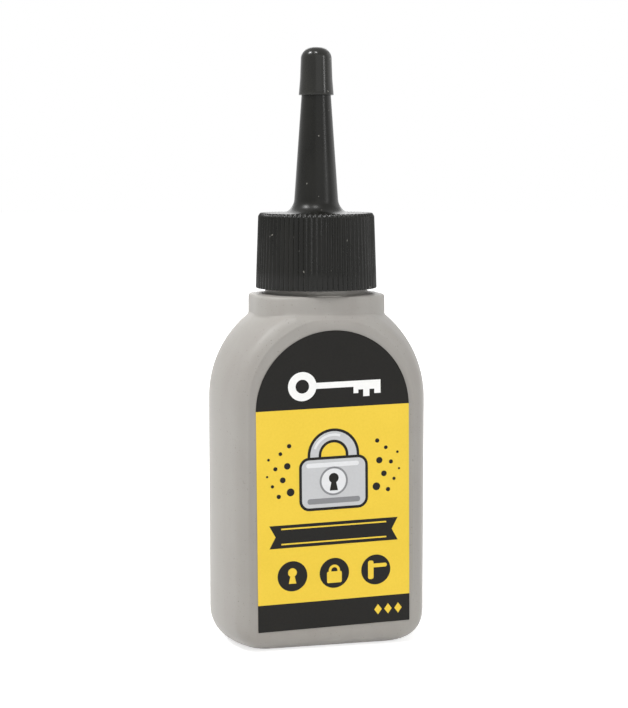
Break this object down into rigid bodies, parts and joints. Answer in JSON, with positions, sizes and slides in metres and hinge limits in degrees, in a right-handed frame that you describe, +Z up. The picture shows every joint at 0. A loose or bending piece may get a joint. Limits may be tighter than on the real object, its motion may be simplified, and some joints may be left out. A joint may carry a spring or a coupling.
{
  "type": "graphite lock lubricant tube",
  "caption": "Flat arch-shouldered squeeze flask of graphite powder with a ribbed screw cap, a long tapered spout, a pull-off tip cap and arch-topped labels.",
  "frame": {"origin": "middle of the flat rim that the bottle stands on, on the axis of the neck", "axes": "+Z up along the neck and the spout, +X to the right and -Y out of the front label"},
  "size_m": [0.0416, 0.0242, 0.1144],
  "materials": {
    "bottle_wall": "satin grey soft plastic, blow moulded",
    "cap_moulding": "satin black, injection moulded",
    "tip_moulding": "semi-gloss black, injection moulded",
    "foam_ring": "white closed-cell foam",
    "label_film": "printed self-adhesive film, satin, yellow and black",
    "powder": "fine dark grey graphite powder, settled"
  },
  "bodies": {
    "flask": {"bottle": "bottle_wall", "front_label": "label_film", "back_label": "label_film", "graphite_powder": "powder"},
    "seal": {"cap_liner": "foam_ring"},
    "cap": {"spout_cap": "cap_moulding"},
    "tip": {"tip_cap": "tip_moulding"}
  },
  "joints": [
    {"name": "cap_lift", "type": "slide", "parent": "flask", "child": "seal", "axis": [0, 0, 1], "range_m": [0, 0.0159]},
    {"name": "cap_turn", "type": "hinge", "parent": "seal", "child": "cap", "pos_m": [0, 0, 0.0816], "axis": [0, 0, 1], "range_deg": [0, 1800]},
    {"name": "tip_pull", "type": "slide", "parent": "cap", "child": "tip", "axis": [0, 0, 1], "range_m": [0, 0.014]}
  ],
  "couplings": [
    {"joint": "cap_lift", "follows": "cap_turn", "m_per_rad": 0.00050531}
  ]
}
